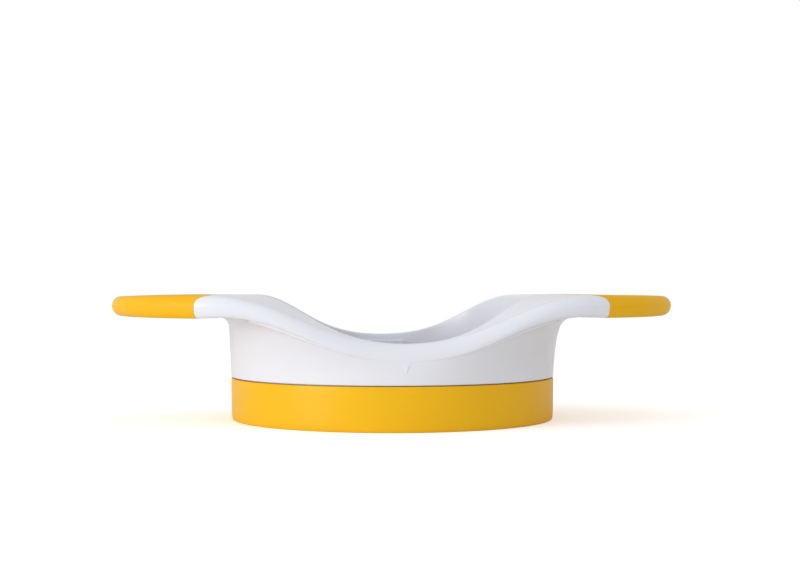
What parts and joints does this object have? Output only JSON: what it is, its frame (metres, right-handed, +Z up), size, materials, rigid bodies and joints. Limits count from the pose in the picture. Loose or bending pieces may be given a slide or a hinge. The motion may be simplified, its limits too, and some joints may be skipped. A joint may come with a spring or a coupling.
{
  "type": "mango pitter",
  "caption": "Press-down fruit splitter: a saddle-rimmed ring with two wing handles, an eye-shaped stone blade and a lower blade guard that pulls off.",
  "frame": {"origin": "on the ring's axis, on the plane that the blade guard stands on", "axes": "+X along the two wings, to the right as the picture shows it; +Y to the back, along the blade; +Z up"},
  "size_m": [0.1974, 0.1158, 0.0442],
  "materials": {
    "white_plastic": "satin-gloss moulded white",
    "grip_rubber": "soft satin yellow overmould",
    "guard_plastic": "satin moulded yellow",
    "blade_steel": "fine-ground stainless steel",
    "fastener_steel": "plain stainless steel"
  },
  "bodies": {
    "pitter": {"frame": "white_plastic", "grip_left": "grip_rubber", "grip_right": "grip_rubber", "blade_left": "blade_steel", "blade_right": "blade_steel", "blade_rivet_front_lower": "fastener_steel", "blade_rivet_front_upper": "fastener_steel", "blade_rivet_back_lower": "fastener_steel", "blade_rivet_back_upper": "fastener_steel", "keeper_front": "white_plastic", "keeper_back": "white_plastic", "keeper_screw_front_left": "fastener_steel", "keeper_screw_front_right": "fastener_steel", "keeper_screw_back_left": "fastener_steel", "keeper_screw_back_right": "fastener_steel"},
    "guard": {"guard_ring": "guard_plastic"}
  },
  "joints": [
    {"name": "guard_pull_off", "type": "slide", "parent": "pitter", "child": "guard", "axis": [0, 0, -1], "range_m": [0, 0.03]}
  ]
}
